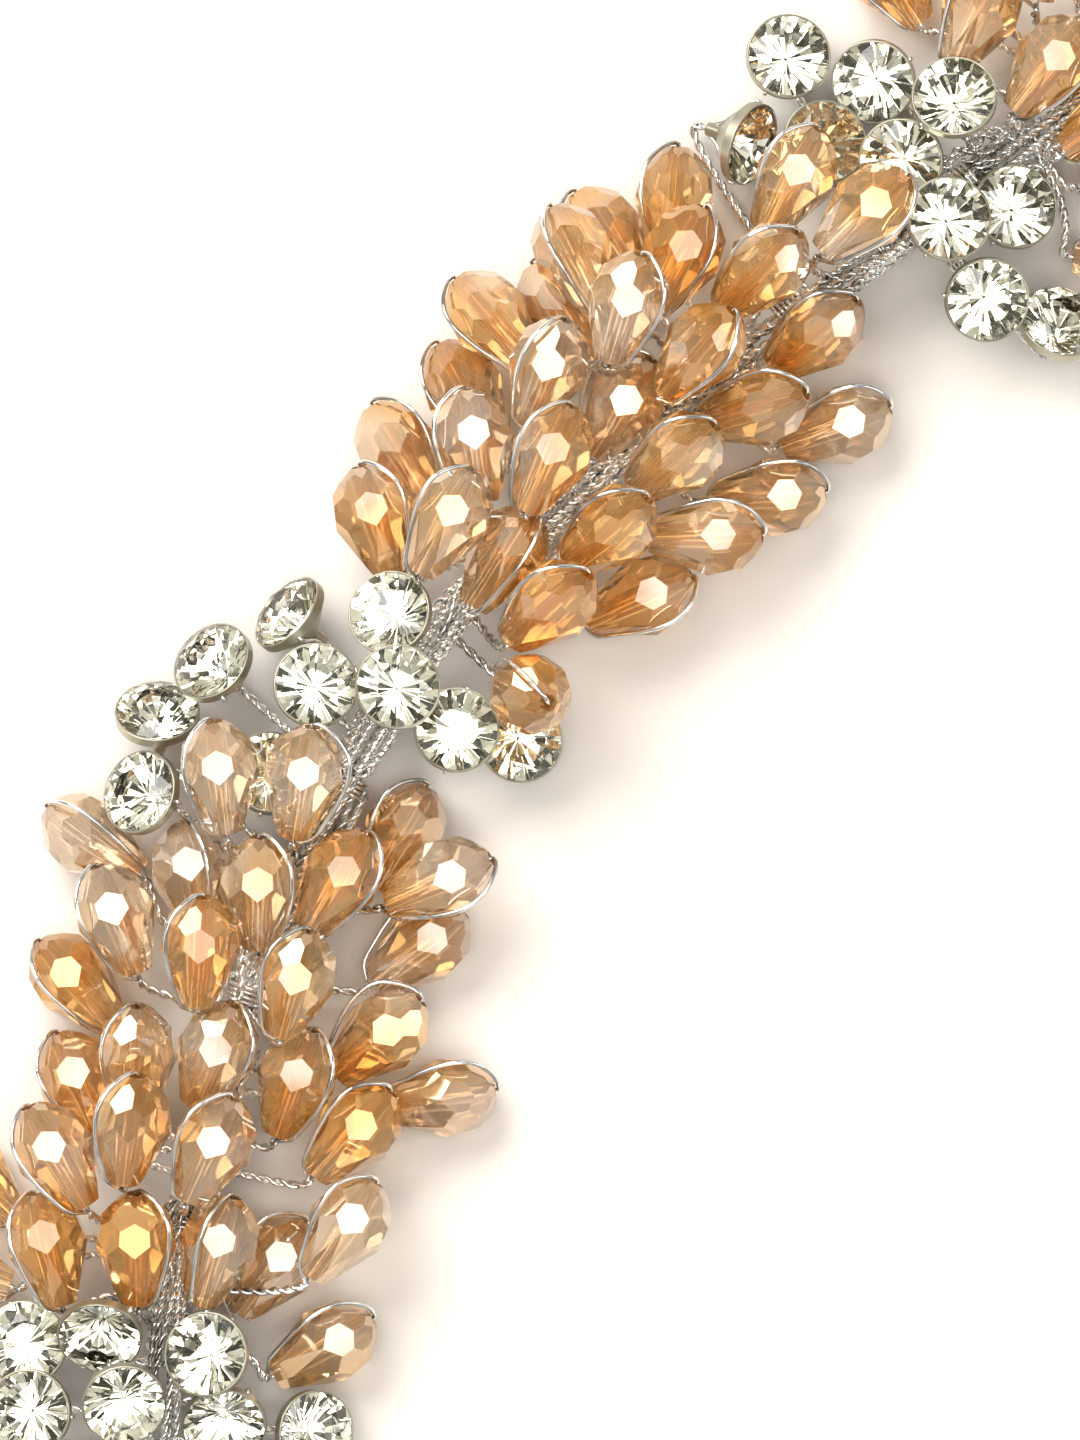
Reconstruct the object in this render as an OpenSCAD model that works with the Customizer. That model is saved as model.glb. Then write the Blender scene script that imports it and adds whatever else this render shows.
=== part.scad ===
// Hair vine lying flat: a bundle of twisted silver wire that carries clusters of faceted drop beads
// and clusters of round stones in turn, with a plain eye at each end.
// X runs along the vine, Z is up, and Z = 0 is the surface that it lies on. Sizes are in millimetres.

/* [Drop beads] */
// Width of a bead across the flats of its waist, which the whole layout follows
bead_w = 4.7; // [4:0.1:6]
// Diameter of the hole drilled through a bead
bead_bore = 1; // [0.9:0.05:1.2]

/* [Stones] */
// Diameter of a stone across the flats of its girdle
stone_d = 4.5; // [4:0.1:4.6]
// Thickness of the metal of a stone's setting
cup_wall = 0.18; // [0.12:0.02:0.22]

/* [Wire] */
// Thickness of a twisted pair of wires
pair_d = 0.6; // [0.45:0.05:0.65]
// Width of the bundle along the middle of the vine
bundle_w = 2.6; // [2.2:0.1:2.8]
// Thickness of that bundle
bundle_t = 1.8; // [1.6:0.1:1.9]

/* [End eyes] */
// Clear opening of the eye at each end
eye_open = 6.4; // [6.2:0.1:8]
// Thickness of the eye's rod
eye_rod = 1; // [0.8:0.1:1.4]

/* [Hidden] */

// The layout is charted in units of a bead's width
unit = bead_w / 4.7;

// Drop bead: rings of eight facets, as [share of the length, share of the half width] from tip to bulb
bead_l = 1.48 * bead_w;
bead_flats = [[0, 0.40], [0.51, 1.04], [0.855, 0.86], [1, 0.25]];
bead_corners = [[0, 0.50], [0.69, 1.13], [1, 0.34]];

// Stone: the same two sets of facets, as [share of the depth, share of the half width] from culet to table
stone_h = 0.7 * stone_d;
stone_flats = [[0, 0.04], [0.66, 1], [0.72, 1], [1, 0.58]];
stone_corners = [[0, 0.16], [0.66, 1], [0.72, 1], [1, 0.68]];
girdle_z = 0.69 * stone_h;

// Setting: a cone of sheet metal with a rim round the girdle and a short post behind
cup_gap = 0.12;
girdle_r = stone_d / 2 / cos(11.25);
cup_in = girdle_r + cup_gap;
cup_out = cup_in + cup_wall;
cup_lip = 0.76 * stone_h;
cup_slope = 0.66 * stone_h / (stone_d / 2 / cos(22.5));
cup_back = 1.35 * cup_gap;
post_r = 0.45;
post_end = 0.9;

// Route of the bundle: chosen points [x, y], which a smooth curve runs through
route = [
    [-4, -13], [8, -4.5], [23, 2.5], [40, 7], [57, 8],
    [77, 3.5], [93, -1.5], [110, -6.5], [126, -11], [143, -14.5]
];
bundle_z = 3.4;
bundle_turns = 42;
bundle_sides = 10;
end_r = 0.8;
end_run = 7;
strand_end = 5.5;
binding_at = [1.5, 17, 31, 45, 52, 61, 84, 97, 107, 123, 137.5];
binding_run = 1.2;
binding_rise = 0.2;

// Sprigs: a pair of wires that leaves the bundle and curves to its bead or stone
stem_sides = 5;
stem_turns = 4;
stem_lean = 0.1;
stem_ease = 0.8;
stem_end = 0.45;

// Eyes
sleeve_gap = 0.15;
sleeve_wall = 0.5;
sleeve_run = 3;
sleeve_floor = 1;

// Middle of the vine, moved to the origin, and the height of its lowest bead in the charts
middle = [69.9, -1.9];
low_bead = 2.6;
ground = low_bead * unit - bead_flats[1][1] * bead_w / 2;

// Clusters: [x, y, heading]
lower_bead_place = [23.8, 3.1, 21];
middle_bead_place = [73, 5.1, -12];
upper_bead_place = [113.6, -7.2, -17];
lower_stone_place = [8.4, -4.2, 35];
middle_stone_place = [48.9, 7.6, 0];
upper_stone_place = [94.2, -1.2, -17];

// Beads of the lower and upper clusters: [along, across, height, heading, pitch], and last, where a
// wire has to keep clear of its neighbours, its detour as [along, across, up]
leaf_chart = [
    [20, 4, 7.5, 20, 15], [20.9, -1, 8.4, 4, 15, [1.5, -0.5, 0]],
    [14.2, 10.7, 2.8, 68, 0, [-3.5, 0, 0]], [10, 8, 5.6, 34, 10], [13.5, 4.2, 4.8, 25, 5],
    [13.7, 0, 7.3, 13, 15], [15.5, -4.5, 6.5, -18, 10], [19, -7.5, 2.7, -15, 0],
    [17, -10.5, 6.1, -52, 10], [12.7, -10.3, 2.8, -38, 5], [9.5, 2.5, 10.25, 10, 20, [5, 5, -0.8]],
    [9, -3.5, 9.8, -2, 20, [2.2, 2.2, 0]], [6.8, -9.2, 4.4, -35, 10, [0, 0, -0.5]], [5.5, 9.5, 2.9, 55, 5],
    [2, 4.8, 5.6, 12, 20], [3.5, 0.2, 7.4, -8, 20], [3, -4.9, 6.1, -5, 15], [0.8, -9.1, 5.5, -28, 10],
    [4, -13.7, 2.6, -68, 0], [-0.5, 7.8, 2.8, 38, 5], [-2, 4, 9.8, 6, 20, [3.4, 1.6, 0]],
    [-2, -1, 9.8, -10, 15], [-4.8, 8, 7.7, 43, 10], [-10.6, 7.2, 5.6, 27, 5, [3, -1, 0]],
    [-9.1, 2, 7.1, 14, 15], [-8.1, -2.8, 6.7, -3, 10], [-8.5, -6.3, 2.9, -24, 5],
    [-5, -10, 6.7, -21, 5, [-1, 2.8, 1.7]], [-12.5, -10.5, 2.8, -46, 0, [3, 0, 0]],
    [-7.6, 12.9, 2.7, 60, 0, [1, 0, 0]], [-13.2, 12.5, 3, 85, 0, [4.5, -0.5, 0]]
];

// Beads of the middle cluster, with the same columns
fan_chart = [
    [11, 8.8, 4, 42, 5], [17.1, 4.8, 8, 20, 15], [18.8, 0.3, 9.8, 0, 10], [8.8, 6, 7.8, 21, 10],
    [11.9, 2, 9.6, 3, 28], [11.8, -3, 6.4, -3, 25], [9, -8, 3, -23, 10], [6.6, 10, 2.6, 80, 0],
    [4.2, 10.3, 7.2, 72, 0], [4.3, 6, 10.6, 30, 20, [-0.8, 4.8, 0]],
    [5.7, 1, 10.6, 7, 25, [5, -3.8, -0.2]], [6, -3.8, 7.2, -26, 25], [3, -8.3, 4, -38, 5],
    [0.2, 1.8, 6.5, 15, 20], [0.4, -2.7, 8.4, -3, 30], [-1.5, -7.4, 6.9, -42, 10],
    [1.5, 8.6, 2.6, 80, 0], [-2, 11, 5.3, 88, 0], [-1.8, 6.5, 8.5, 26, 20], [-5.6, -3.2, 9, -2, 30],
    [-5.3, 2.5, 10.6, 23, 15, [5.4, 0, -0.3]], [-6.2, 9, 2.6, 75, 0], [-8, 6.2, 6.6, 55, 10],
    [-7, -7.5, 4, -19, 10], [-11.5, 0, 6.9, 15, 0], [-11.4, -4.1, 9.8, -2, 30],
    [-12.5, 3.9, 9.8, 19, 10, [5, -0.5, -1]], [-11.7, 9, 2.6, 78, 0], [-15.6, 7, 6.3, 64, 10],
    [-16, -6.9, 8.5, -70, 65]
];

// Stones of each cluster: [along, across, height of the girdle, way it leans, tilt], and last the detour
lower_stone_chart = [
    [3.1, 3.5, 7.2, 175, 35], [2, -3, 7.8, 60, 15], [2.5, 8.2, 4.8, 0, 8], [-1, 2, 8, 200, 20],
    [-2.5, -4, 5.2, 180, 25], [-1.5, 7.8, 7.5, 90, 10], [-3, -9.5, 4, -90, 30], [-6.8, 0.5, 8.4, 180, 30],
    [-5.8, 5.3, 4.2, 150, 35], [-7.3, -5.5, 4.5, 200, 35]
];
middle_stone_chart = [
    [6.2, 3.6, 8, 90, 22], [2.6, 8.7, 4, 85, 60], [0, 4.8, 6.4, 0, 10], [2.8, 0.6, 10.2, 0, 8],
    [2.7, -3.8, 7, 0, 5], [-2.5, 10.8, 4.5, 80, 40], [-7, 11.8, 4, 35, 45, [0, 1, 0]], [-11.5, 9.8, 5.4, 100, 35],
    [-6, 4, 4.2, 0, 20], [4.4, -7.4, 4, -90, 15]
];
upper_stone_chart = [
    [5.3, 4, 8.2, 60, 20], [2.3, 7.9, 4, 190, 18], [0.5, 3, 6.4, 180, 15], [-0.9, 12.3, 4.4, 0, 10, [0, 1, 0]],
    [-2.4, 6.8, 4.8, 0, 12], [-6, 9.6, 3.6, -60, 60, [-1, 3, -1]], [0.5, -1.6, 8, 0, 10],
    [4.3, -3.5, 5.6, 0, 15], [2.2, -10.8, 4.2, 30, 35, [0, -1, 0]], [-0.6, -6.9, 6.4, -90, 15]
];

// Smooth curve through the route's points, as y for a given x
function slope_at(i) =
    let (a = max(i - 1, 0), b = min(i + 1, len(route) - 1))
    (route[b].y - route[a].y) / (route[b].x - route[a].x);

function span_of(x, i = 0) = i >= len(route) - 2 || x < route[i + 1].x ? i : span_of(x, i + 1);

function route_y(x) =
    let (
        i = span_of(x),
        run = route[i + 1].x - route[i].x,
        u = (x - route[i].x) / run
    )
    (2 * u^3 - 3 * u^2 + 1) * route[i].y
        + (u^3 - 2 * u^2 + u) * run * slope_at(i)
        + (3 * u^2 - 2 * u^3) * route[i + 1].y
        + (u^3 - u^2) * run * slope_at(i + 1);

function route_heading(x) = atan2(route_y(x + 0.1) - route_y(x - 0.1), 0.2);

function bundle_point(x) = [x * unit, route_y(x) * unit, bundle_z * unit];

// Directions and places within a cluster
function aim(heading, pitch) =
    [cos(heading) * cos(pitch), sin(heading) * cos(pitch), sin(pitch)];

function spot(place, along, across, height) =
    unit * [
        place[0] + along * cos(place[2]) - across * sin(place[2]),
        place[1] + along * sin(place[2]) + across * cos(place[2]),
        height
    ];

function size_of(v) = v / norm(v);

// Curve of a sprig from the bundle to the point where its wire goes straight
function stem_curve(place, row, way, tip) =
    let (
        detour = is_undef(row[5]) ? [0, 0, 0] : row[5],
        ease = tip - stem_ease * way,
        foot = stem_foot(place, tip, detour.x),
        low = [ease.x, ease.y, min(ease.z, foot.z)]
            + spot([0, 0, place[2]], detour.x, detour.y, detour.z)
    )
    [for (i = [0 : stem_turns]) let (u = i / stem_turns)
        (1 - u)^3 * foot + 3 * u * (1 - u)^2 * low + 3 * u^2 * (1 - u) * ease + u^3 * tip];

function stem_foot(place, end, along_more) =
    let (
        along = (end.x / unit - place[0]) * cos(place[2]) + (end.y / unit - place[1]) * sin(place[2]),
        across = (end.y / unit - place[1]) * cos(place[2]) - (end.x / unit - place[0]) * sin(place[2]),
        back = along + along_more - stem_lean * abs(across),
        x = place[0] + back * cos(place[2])
    )
    bundle_point(min(max(x, route[0].x + end_run), route[len(route) - 1].x - end_run));

function bead_tip(place, row) =
    spot(place, row[0], row[1], row[2]) - bead_l / 2 * aim(place[2] + row[3], row[4]);

function bead_stem(place, row) =
    let (
        way = aim(place[2] + row[3], row[4]),
        tip = bead_tip(place, row) - stem_end * way
    )
    concat(
        stem_curve(place, row, way, tip),
        [bead_tip(place, row) + (bead_l + stem_end) * way]
    );

function stone_way(place, row) = aim(place[2] + row[3], 90 - row[4]);

function post_point(place, row) =
    spot(place, row[0], row[1], row[2]) - (girdle_z + post_end + cup_gap) * stone_way(place, row);

function stone_stem(place, row) =
    let (
        way = stone_way(place, row),
        tip = post_point(place, row)
    )
    stem_curve(place, row, way, tip);

// Rings round a path: each is turned half a side on from the last, so that the wire looks twisted
function oval(p, way, side, half_w, half_t, sides, turn) =
    let (
        u = size_of(side - (side * way) * way),
        v = cross(way, u)
    )
    [for (k = [0 : sides - 1]) let (a = 360 * k / sides + turn)
        p + half_w * cos(a) * u + half_t * sin(a) * v];

function rings(path, side, half_w, half_t, sides) =
    [for (i = [0 : len(path) - 1])
        let (way = size_of(path[min(i + 1, len(path) - 1)] - path[max(i - 1, 0)]))
        oval(path[i], way, side, half_w, half_t, sides, 180 * i / sides)];

function stem_rings(path) =
    rings(path, cross(path[len(path) - 1] - path[0], [0, 0, 1]), pair_d / 2, pair_d / 2, stem_sides);

function bundle_rings(from, to, turns, half_w, half_t) =
    rings(
        [for (i = [0 : turns]) bundle_point(from + (to - from) * i / turns)],
        [0, 1, 0], half_w, half_t, bundle_sides
    );

// Closed tube through rings that all have the same number of points
module tube(rings) {
    sides = len(rings[0]);
    last = len(rings) - 1;
    polyhedron(
        points = [for (ring = rings) each ring],
        faces = concat(
            [[for (k = [0 : sides - 1]) k]],
            [for (i = [0 : last - 1], k = [0 : sides - 1]) let (n = (k + 1) % sides)
                each [[i * sides + k, (i + 1) * sides + k, i * sides + n],
                    [i * sides + n, (i + 1) * sides + k, (i + 1) * sides + n]]],
            [[for (k = [sides - 1 : -1 : 0]) last * sides + k]]
        )
    );
}

// Cut glass: the solid within two sets of slabs, with eight facets to a ring
module slab(shares, half_w, h) {
    rotate([90, 0, 0])
        linear_extrude(height = 4 * half_w, center = true)
            polygon(concat(
                [for (s = shares) [s[1] * half_w, s[0] * h]],
                [for (i = [len(shares) - 1 : -1 : 0]) [-shares[i][1] * half_w, shares[i][0] * h]]
            ));
}

module cut_glass(flats, corners, half_w, h) {
    intersection_for (k = [0 : 3]) {
        rotate([0, 0, 45 * k])
            intersection() {
                slab(flats, half_w, h);
                rotate([0, 0, 22.5]) slab(corners, half_w, h);
            }
    }
}

module drop_bead() {
    difference() {
        cut_glass(bead_flats, bead_corners, bead_w / 2, bead_l);
        translate([0, 0, -1]) cylinder(h = bead_l + 2, d = bead_bore, $fn = 24);
    }
}

module stone() {
    cut_glass(stone_flats, stone_corners, stone_d / 2, stone_h);
}

module setting() {
    wall_back = cup_back + cup_wall * sqrt(1 + cup_slope^2);
    bend = cup_in * cup_slope - cup_back;
    rotate_extrude($fn = 32)
        polygon([
            [0, -cup_back], [cup_in, bend], [cup_in, cup_lip], [cup_out, cup_lip],
            [cup_out, cup_out * cup_slope - wall_back], [post_r, post_r * cup_slope - wall_back],
            [post_r, -post_end], [0, -post_end]
        ]);
}

// Turns what stands on Z so that Z points the given way
module stand(p, heading, pitch) {
    translate(p) rotate([0, 90 - pitch, heading]) children();
}

module bead_cluster(place, chart) {
    for (row = chart)
        stand(bead_tip(place, row), place[2] + row[3], row[4]) drop_bead();
}

module stone_cluster(place, chart) {
    for (row = chart)
        stand(
            spot(place, row[0], row[1], row[2]) - girdle_z * stone_way(place, row),
            place[2] + row[3], 90 - row[4]
        ) children();
}

module bead_stems(place, chart) {
    for (row = chart) tube(stem_rings(bead_stem(place, row)));
}

module stone_stems(place, chart) {
    for (row = chart) tube(stem_rings(stone_stem(place, row)));
}

// The outer strands stop short of the ends, where only a round core goes on into the sleeves
module bundle() {
    start = route[0].x;
    end = route[len(route) - 1].x;
    tube(bundle_rings(start + strand_end, end - strand_end, bundle_turns, bundle_w / 2, bundle_t / 2));
    tube(bundle_rings(start, start + strand_end + binding_run, 2, end_r, end_r));
    tube(bundle_rings(end - strand_end - binding_run, end, 2, end_r, end_r));
}

module binding(x) {
    half_w = bundle_w / 2 + binding_rise;
    half_t = bundle_t / 2 + binding_rise;
    hull() tube(bundle_rings(x - binding_run / 2, x + binding_run / 2, 1, half_w, half_t));
}

module eye(x, turn) {
    sleeve_r = end_r + sleeve_gap + sleeve_wall;
    ring_r = (eye_open + eye_rod) / 2;
    translate(bundle_point(x)) rotate([0, 0, route_heading(x) + turn]) {
        difference() {
            translate([-sleeve_run, 0, 0])
                rotate([0, 90, 0]) cylinder(h = sleeve_run + sleeve_floor, r = sleeve_r, $fn = 32);
            translate([-2 * sleeve_run, 0, 0])
                rotate([0, 90, 0])
                    cylinder(h = 2 * sleeve_run + sleeve_gap, r = end_r + sleeve_gap, $fn = 32);
        }
        translate([sleeve_floor + ring_r, 0, 0])
            rotate_extrude($fn = 48) translate([ring_r, 0]) circle(d = eye_rod, $fn = 16);
    }
}

// Named pieces
module lower_beads() {
    color("#d9a06a") centred() bead_cluster(lower_bead_place, leaf_chart);
}

module middle_beads() {
    color("#d9a06a") centred() bead_cluster(middle_bead_place, fan_chart);
}

module upper_beads() {
    color("#d9a06a") centred() bead_cluster(upper_bead_place, leaf_chart);
}

module lower_stones() {
    color("#e8eaea") centred() stone_cluster(lower_stone_place, lower_stone_chart) stone();
}

module middle_stones() {
    color("#e8eaea") centred() stone_cluster(middle_stone_place, middle_stone_chart) stone();
}

module upper_stones() {
    color("#e8eaea") centred() stone_cluster(upper_stone_place, upper_stone_chart) stone();
}

module lower_settings() {
    color("#a89c84") centred() stone_cluster(lower_stone_place, lower_stone_chart) setting();
}

module middle_settings() {
    color("#a89c84") centred() stone_cluster(middle_stone_place, middle_stone_chart) setting();
}

module upper_settings() {
    color("#a89c84") centred() stone_cluster(upper_stone_place, upper_stone_chart) setting();
}

module wirework() {
    color("#c9cacb") centred() {
        bundle();
        for (x = binding_at) binding(x);
        bead_stems(lower_bead_place, leaf_chart);
        bead_stems(middle_bead_place, fan_chart);
        bead_stems(upper_bead_place, leaf_chart);
        stone_stems(lower_stone_place, lower_stone_chart);
        stone_stems(middle_stone_place, middle_stone_chart);
        stone_stems(upper_stone_place, upper_stone_chart);
    }
}

module lower_eye() {
    color("#c9cacb") centred() eye(route[0].x, 180);
}

module upper_eye() {
    color("#c9cacb") centred() eye(route[len(route) - 1].x, 0);
}

module centred() {
    translate([-middle.x * unit, -middle.y * unit, -ground]) children();
}

lower_beads();
middle_beads();
upper_beads();
lower_stones();
middle_stones();
upper_stones();
lower_settings();
middle_settings();
upper_settings();
wirework();
lower_eye();
upper_eye();
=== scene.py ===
"""Hair vine of twisted silver wire, honey glass drop beads and clear stones, on a pale floor."""

import logging
import math
import random
from dataclasses import dataclass
from enum import Enum
from typing import Callable, Iterable, NamedTuple, Sequence

import bmesh
import bpy
import numpy as np
from mathutils import Matrix, Vector

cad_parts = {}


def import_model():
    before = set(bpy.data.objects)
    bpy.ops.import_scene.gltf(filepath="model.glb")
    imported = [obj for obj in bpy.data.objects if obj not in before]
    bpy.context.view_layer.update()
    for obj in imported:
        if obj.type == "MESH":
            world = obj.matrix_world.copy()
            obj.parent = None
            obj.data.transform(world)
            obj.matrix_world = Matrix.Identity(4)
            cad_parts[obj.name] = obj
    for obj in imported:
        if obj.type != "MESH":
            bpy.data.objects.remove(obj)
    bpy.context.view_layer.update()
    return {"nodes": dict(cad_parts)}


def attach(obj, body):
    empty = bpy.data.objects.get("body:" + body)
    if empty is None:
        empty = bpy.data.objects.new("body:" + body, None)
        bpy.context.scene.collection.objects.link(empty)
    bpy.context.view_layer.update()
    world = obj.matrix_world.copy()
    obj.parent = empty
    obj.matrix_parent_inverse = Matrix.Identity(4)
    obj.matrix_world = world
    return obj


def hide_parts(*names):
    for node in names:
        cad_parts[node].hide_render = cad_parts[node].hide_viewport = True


LOG = logging.getLogger("hair_vine")
MM = 0.001
# Corners nearer to each other than this are merged
WELD = 1e-4
# A direction whose level part is shorter than this counts as straight up
LEVEL_LEAST = 1e-3

Pair = tuple[float, float]
Triple = tuple[float, float, float]
Colour = tuple[float, float, float, float]
Stops = tuple[tuple[float, Colour], ...]
Row = tuple[float | Triple, ...]


class Slot(Enum):
    """Names of material slots for the clear stones, the setting metal and the silver wire."""

    STONE = "clear_stone"
    SETTING = "setting_metal"
    WIRE = "silver_wire"


class Lay(Enum):
    """How a wire is made up."""

    PLAIN = "plain"
    TWISTED = "twisted"


class Place(NamedTuple):
    """Where a cluster lies on the vine and the way it heads, in millimetres and degrees."""

    x: float
    y: float
    heading: float


class Seat(NamedTuple):
    """A row of a chart: where a bead or a stone sits in its cluster, in millimetres and degrees.

    A bead's height is that of its middle, and its bore rises by its tilt. A stone's height is that
    of its girdle, and it leans towards its heading by its tilt. The detour leads its wire round a
    neighbour.
    """

    along: float
    across: float
    height: float
    heading: float
    tilt: float
    detour: Triple = (0, 0, 0)


@dataclass(frozen=True)
class Cluster:
    """A cluster of beads or stones on the vine, with a chart of their seats."""

    name: str
    place: Place
    chart: tuple[Row, ...]

    def seats(self) -> list[Seat]:
        """Return the rows of the chart with their columns named."""
        return [Seat(*row) for row in self.chart]


# Charts of the clusters, with the columns of a Seat: along, across, height, heading, tilt, detour
LEAF_CHART: tuple[Row, ...] = (
    (20, 4, 7.5, 20, 15), (20.9, -1, 8.4, 4, 15, (1.5, -0.5, 0)),
    (14.2, 10.7, 2.8, 68, 0, (-3.5, 0, 0)), (10, 8, 5.6, 34, 10), (13.5, 4.2, 4.8, 25, 5),
    (13.7, 0, 7.3, 13, 15), (15.5, -4.5, 6.5, -18, 10), (19, -7.5, 2.7, -15, 0),
    (17, -10.5, 6.1, -52, 10), (12.7, -10.3, 2.8, -38, 5), (9.5, 2.5, 10.25, 10, 20, (5, 5, -0.8)),
    (9, -3.5, 9.8, -2, 20, (2.2, 2.2, 0)), (6.8, -9.2, 4.4, -35, 10, (0, 0, -0.5)),
    (5.5, 9.5, 2.9, 55, 5), (2, 4.8, 5.6, 12, 20), (3.5, 0.2, 7.4, -8, 20), (3, -4.9, 6.1, -5, 15),
    (0.8, -9.1, 5.5, -28, 10), (4, -13.7, 2.6, -68, 0), (-0.5, 7.8, 2.8, 38, 5),
    (-2, 4, 9.8, 6, 20, (3.4, 1.6, 0)), (-2, -1, 9.8, -10, 15), (-4.8, 8, 7.7, 43, 10),
    (-10.6, 7.2, 5.6, 27, 5, (3, -1, 0)), (-9.1, 2, 7.1, 14, 15), (-8.1, -2.8, 6.7, -3, 10),
    (-8.5, -6.3, 2.9, -24, 5), (-5, -10, 6.7, -21, 5, (-1, 2.8, 1.7)),
    (-12.5, -10.5, 2.8, -46, 0, (3, 0, 0)), (-7.6, 12.9, 2.7, 60, 0, (1, 0, 0)),
    (-13.2, 12.5, 3, 85, 0, (4.5, -0.5, 0)),
)
FAN_CHART: tuple[Row, ...] = (
    (11, 8.8, 4, 42, 5), (17.1, 4.8, 8, 20, 15), (18.8, 0.3, 9.8, 0, 10), (8.8, 6, 7.8, 21, 10),
    (11.9, 2, 9.6, 3, 28), (11.8, -3, 6.4, -3, 25), (9, -8, 3, -23, 10), (6.6, 10, 2.6, 80, 0),
    (4.2, 10.3, 7.2, 72, 0), (4.3, 6, 10.6, 30, 20, (-0.8, 4.8, 0)),
    (5.7, 1, 10.6, 7, 25, (5, -3.8, -0.2)), (6, -3.8, 7.2, -26, 25), (3, -8.3, 4, -38, 5),
    (0.2, 1.8, 6.5, 15, 20), (0.4, -2.7, 8.4, -3, 30), (-1.5, -7.4, 6.9, -42, 10),
    (1.5, 8.6, 2.6, 80, 0), (-2, 11, 5.3, 88, 0), (-1.8, 6.5, 8.5, 26, 20), (-5.6, -3.2, 9, -2, 30),
    (-5.3, 2.5, 10.6, 23, 15, (5.4, 0, -0.3)), (-6.2, 9, 2.6, 75, 0), (-8, 6.2, 6.6, 55, 10),
    (-7, -7.5, 4, -19, 10), (-11.5, 0, 6.9, 15, 0), (-11.4, -4.1, 9.8, -2, 30),
    (-12.5, 3.9, 9.8, 19, 10, (5, -0.5, -1)), (-11.7, 9, 2.6, 78, 0), (-15.6, 7, 6.3, 64, 10),
    (-16, -6.9, 8.5, -70, 65),
)
LOWER_STONE_CHART: tuple[Row, ...] = (
    (3.1, 3.5, 7.2, 175, 35), (2, -3, 7.8, 60, 15), (2.5, 8.2, 4.8, 0, 8), (-1, 2, 8, 200, 20),
    (-2.5, -4, 5.2, 180, 25), (-1.5, 7.8, 7.5, 90, 10), (-3, -9.5, 4, -90, 30),
    (-6.8, 0.5, 8.4, 180, 30), (-5.8, 5.3, 4.2, 150, 35), (-7.3, -5.5, 4.5, 200, 35),
)
MIDDLE_STONE_CHART: tuple[Row, ...] = (
    (6.2, 3.6, 8, 90, 22), (2.6, 8.7, 4, 85, 60), (0, 4.8, 6.4, 0, 10), (2.8, 0.6, 10.2, 0, 8),
    (2.7, -3.8, 7, 0, 5), (-2.5, 10.8, 4.5, 80, 40), (-7, 11.8, 4, 35, 45, (0, 1, 0)),
    (-11.5, 9.8, 5.4, 100, 35), (-6, 4, 4.2, 0, 20), (4.4, -7.4, 4, -90, 15),
)
UPPER_STONE_CHART: tuple[Row, ...] = (
    (5.3, 4, 8.2, 60, 20), (2.3, 7.9, 4, 190, 18), (0.5, 3, 6.4, 180, 15),
    (-0.9, 12.3, 4.4, 0, 10, (0, 1, 0)), (-2.4, 6.8, 4.8, 0, 12),
    (-6, 9.6, 3.6, -60, 60, (-1, 3, -1)), (0.5, -1.6, 8, 0, 10), (4.3, -3.5, 5.6, 0, 15),
    (2.2, -10.8, 4.2, 30, 35, (0, -1, 0)), (-0.6, -6.9, 6.4, -90, 15),
)


def unit_vector(v: np.ndarray) -> np.ndarray:
    """Return the vector at length one."""
    return v / np.linalg.norm(v)


def aim(heading: float, pitch: float) -> np.ndarray:
    """Return the unit vector with a heading and a pitch in degrees."""
    h, p = math.radians(heading), math.radians(pitch)
    return np.array([math.cos(h) * math.cos(p), math.sin(h) * math.cos(p), math.sin(p)])


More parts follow.
